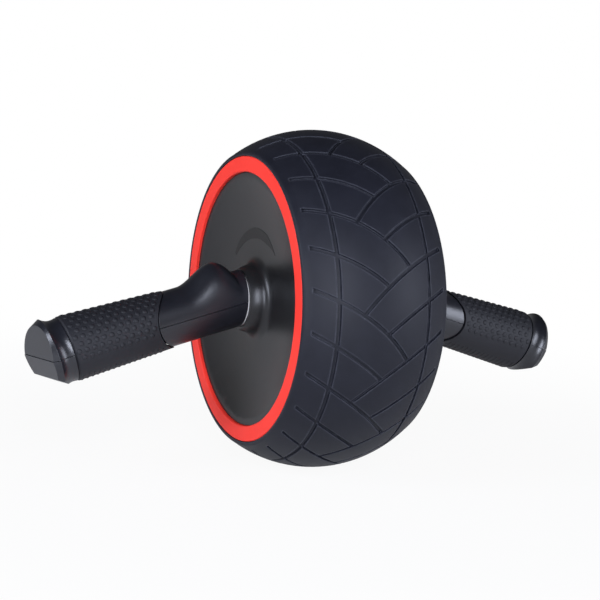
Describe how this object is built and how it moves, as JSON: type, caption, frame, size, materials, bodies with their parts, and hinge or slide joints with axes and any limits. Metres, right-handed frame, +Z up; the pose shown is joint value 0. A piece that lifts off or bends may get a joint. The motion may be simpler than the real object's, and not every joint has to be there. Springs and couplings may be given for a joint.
{
  "type": "ab wheel roller",
  "caption": "Wide ab wheel roller: crowned rubber tyre with curved tread grooves, red trim rings, dished side covers, drooping handles with palm stops and dotted grips, sprung to roll back.",
  "frame": {"origin": "centre of the wheel, on the axle and midway between its sides", "axes": "+X along the axle towards the right handle, +Y away from the camera, +Z up; the handles droop to -Z"},
  "size_m": [0.336, 0.2, 0.2],
  "materials": {
    "tyre_rubber": "matte",
    "ring_red": "satin",
    "cover_plastic": "satin",
    "core_plastic": "matte",
    "handle_plastic": "satin",
    "grip_rubber": "matte",
    "axle_steel": "satin",
    "spring_steel": "satin",
    "screw_steel": "satin",
    "bush_nylon": "satin"
  },
  "bodies": {
    "handlebar": {"axle": "axle_steel", "spring_arbor": "core_plastic", "arbor_pin": "axle_steel", "cross_pin_left": "axle_steel", "cross_pin_right": "axle_steel", "thrust_washer_left": "bush_nylon", "thrust_washer_right": "bush_nylon", "handle_upper_left": "handle_plastic", "handle_upper_right": "handle_plastic", "handle_lower_left": "handle_plastic", "handle_lower_right": "handle_plastic", "grip_left": "grip_rubber", "grip_right": "grip_rubber", "handle_screws_left": "screw_steel", "handle_screws_right": "screw_steel"},
    "wheel": {"tyre": "tyre_rubber", "core_screws": "screw_steel", "power_spring": "spring_steel", "core_left": "core_plastic", "core_right": "core_plastic", "trim_ring_left": "ring_red", "trim_ring_right": "ring_red", "side_cover_left": "cover_plastic", "side_cover_right": "cover_plastic", "bush_left": "bush_nylon", "bush_right": "bush_nylon"}
  },
  "joints": [
    {"name": "wheel_spin", "type": "hinge", "parent": "handlebar", "child": "wheel", "pos_m": [0, 0, 0], "axis": [1, 0, 0], "range_deg": [-360, 900], "stiffness_Nm_per_rad": 0.21, "deforming": ["power_spring"]}
  ]
}
